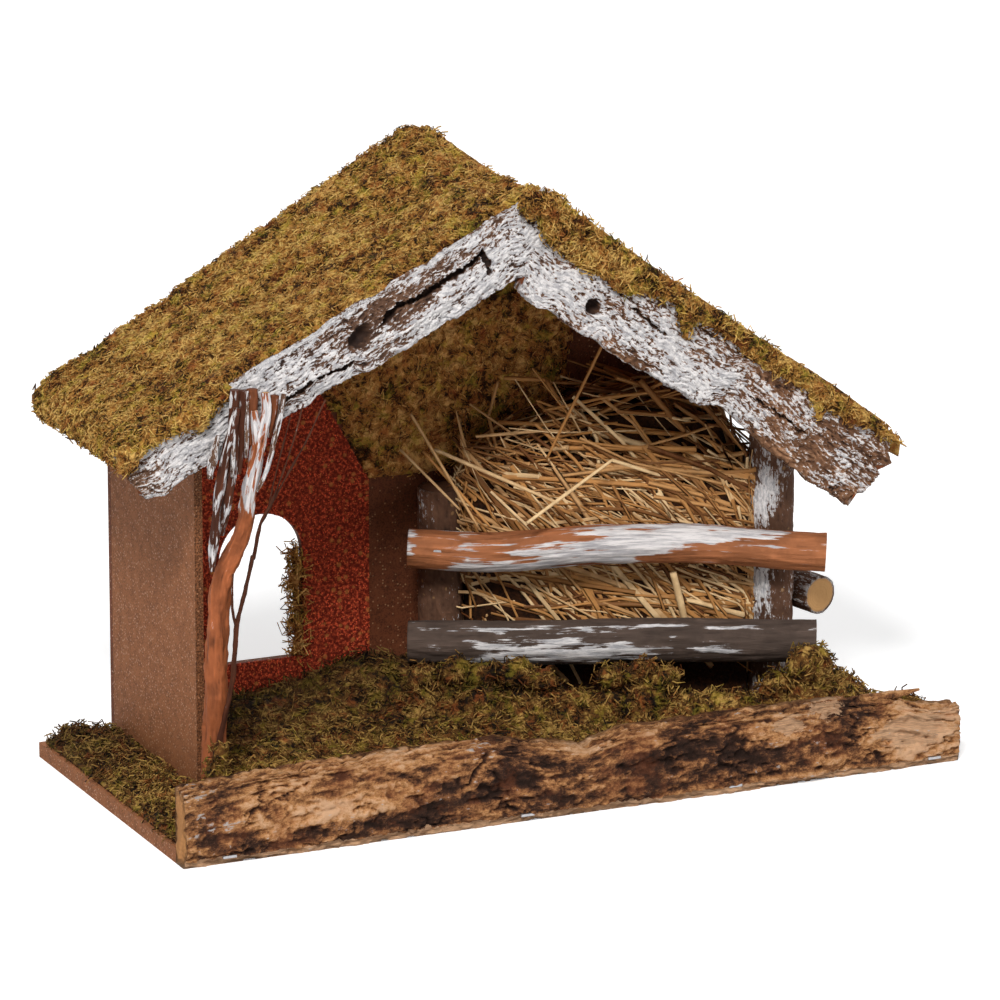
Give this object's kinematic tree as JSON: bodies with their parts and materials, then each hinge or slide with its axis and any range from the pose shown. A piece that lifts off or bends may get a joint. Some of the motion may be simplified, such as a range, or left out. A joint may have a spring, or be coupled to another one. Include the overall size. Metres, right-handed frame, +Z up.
{
  "type": "wooden nativity stable",
  "caption": "Small hardboard stable with a mossy gable roof, bark trim, a fenced straw pen, an arched window and a twig tree, to stand on a shelf with nativity figures.",
  "frame": {"origin": "centre of the base board's underside", "axes": "+X to the right along the base's long side, +Y to the back wall, +Z up from the base"},
  "size_m": [0.308, 0.147, 0.217],
  "materials": {
    "brown_board": "hardboard painted brown, with fine bronze glitter",
    "red_flock": "deep red flock with gold specks",
    "bark_slab": "rough bark on split softwood",
    "whitewashed_bark": "furrowed bark dry-brushed with white paint",
    "dark_bark": "thin dark bark with pale streaks",
    "stripped_wood": "stripped branch with a swath of white paint",
    "twig_bark": "smooth reddish bark",
    "roof_moss": "dried moss, yellow-olive",
    "floor_moss": "dried moss, green-brown",
    "straw": "loose dry straw",
    "steel": "plain wire staples and nails"
  },
  "bodies": {
    "root": {"base_board": "brown_board", "left_wall": "brown_board", "back_wall": "brown_board", "left_roof_board": "brown_board", "right_roof_board": "brown_board", "red_arch_panel": "red_flock", "front_bark_slab": "bark_slab", "left_fascia_bark": "whitewashed_bark", "right_fascia_bark": "whitewashed_bark", "tree_left_branch": "whitewashed_bark", "tree_twigs": "whitewashed_bark", "left_fence_post": "dark_bark", "right_corner_post": "dark_bark", "lower_fence_rail": "dark_bark", "side_rail": "dark_bark", "upper_fence_rail": "stripped_wood", "tree_trunk": "twig_bark", "thin_dark_twig": "twig_bark", "left_roof_moss": "roof_moss", "right_roof_moss": "roof_moss", "floor_moss": "floor_moss", "left_strip_moss": "floor_moss", "right_strip_moss": "floor_moss", "back_wall_moss": "floor_moss", "arch_edge_moss": "floor_moss", "straw_heap": "straw", "slab_staples": "steel", "rail_nails": "steel", "side_rail_nails": "steel", "post_nails": "steel", "base_staples": "steel", "wall_staples": "steel", "roof_staples": "steel"}
  },
  "joints": []
}
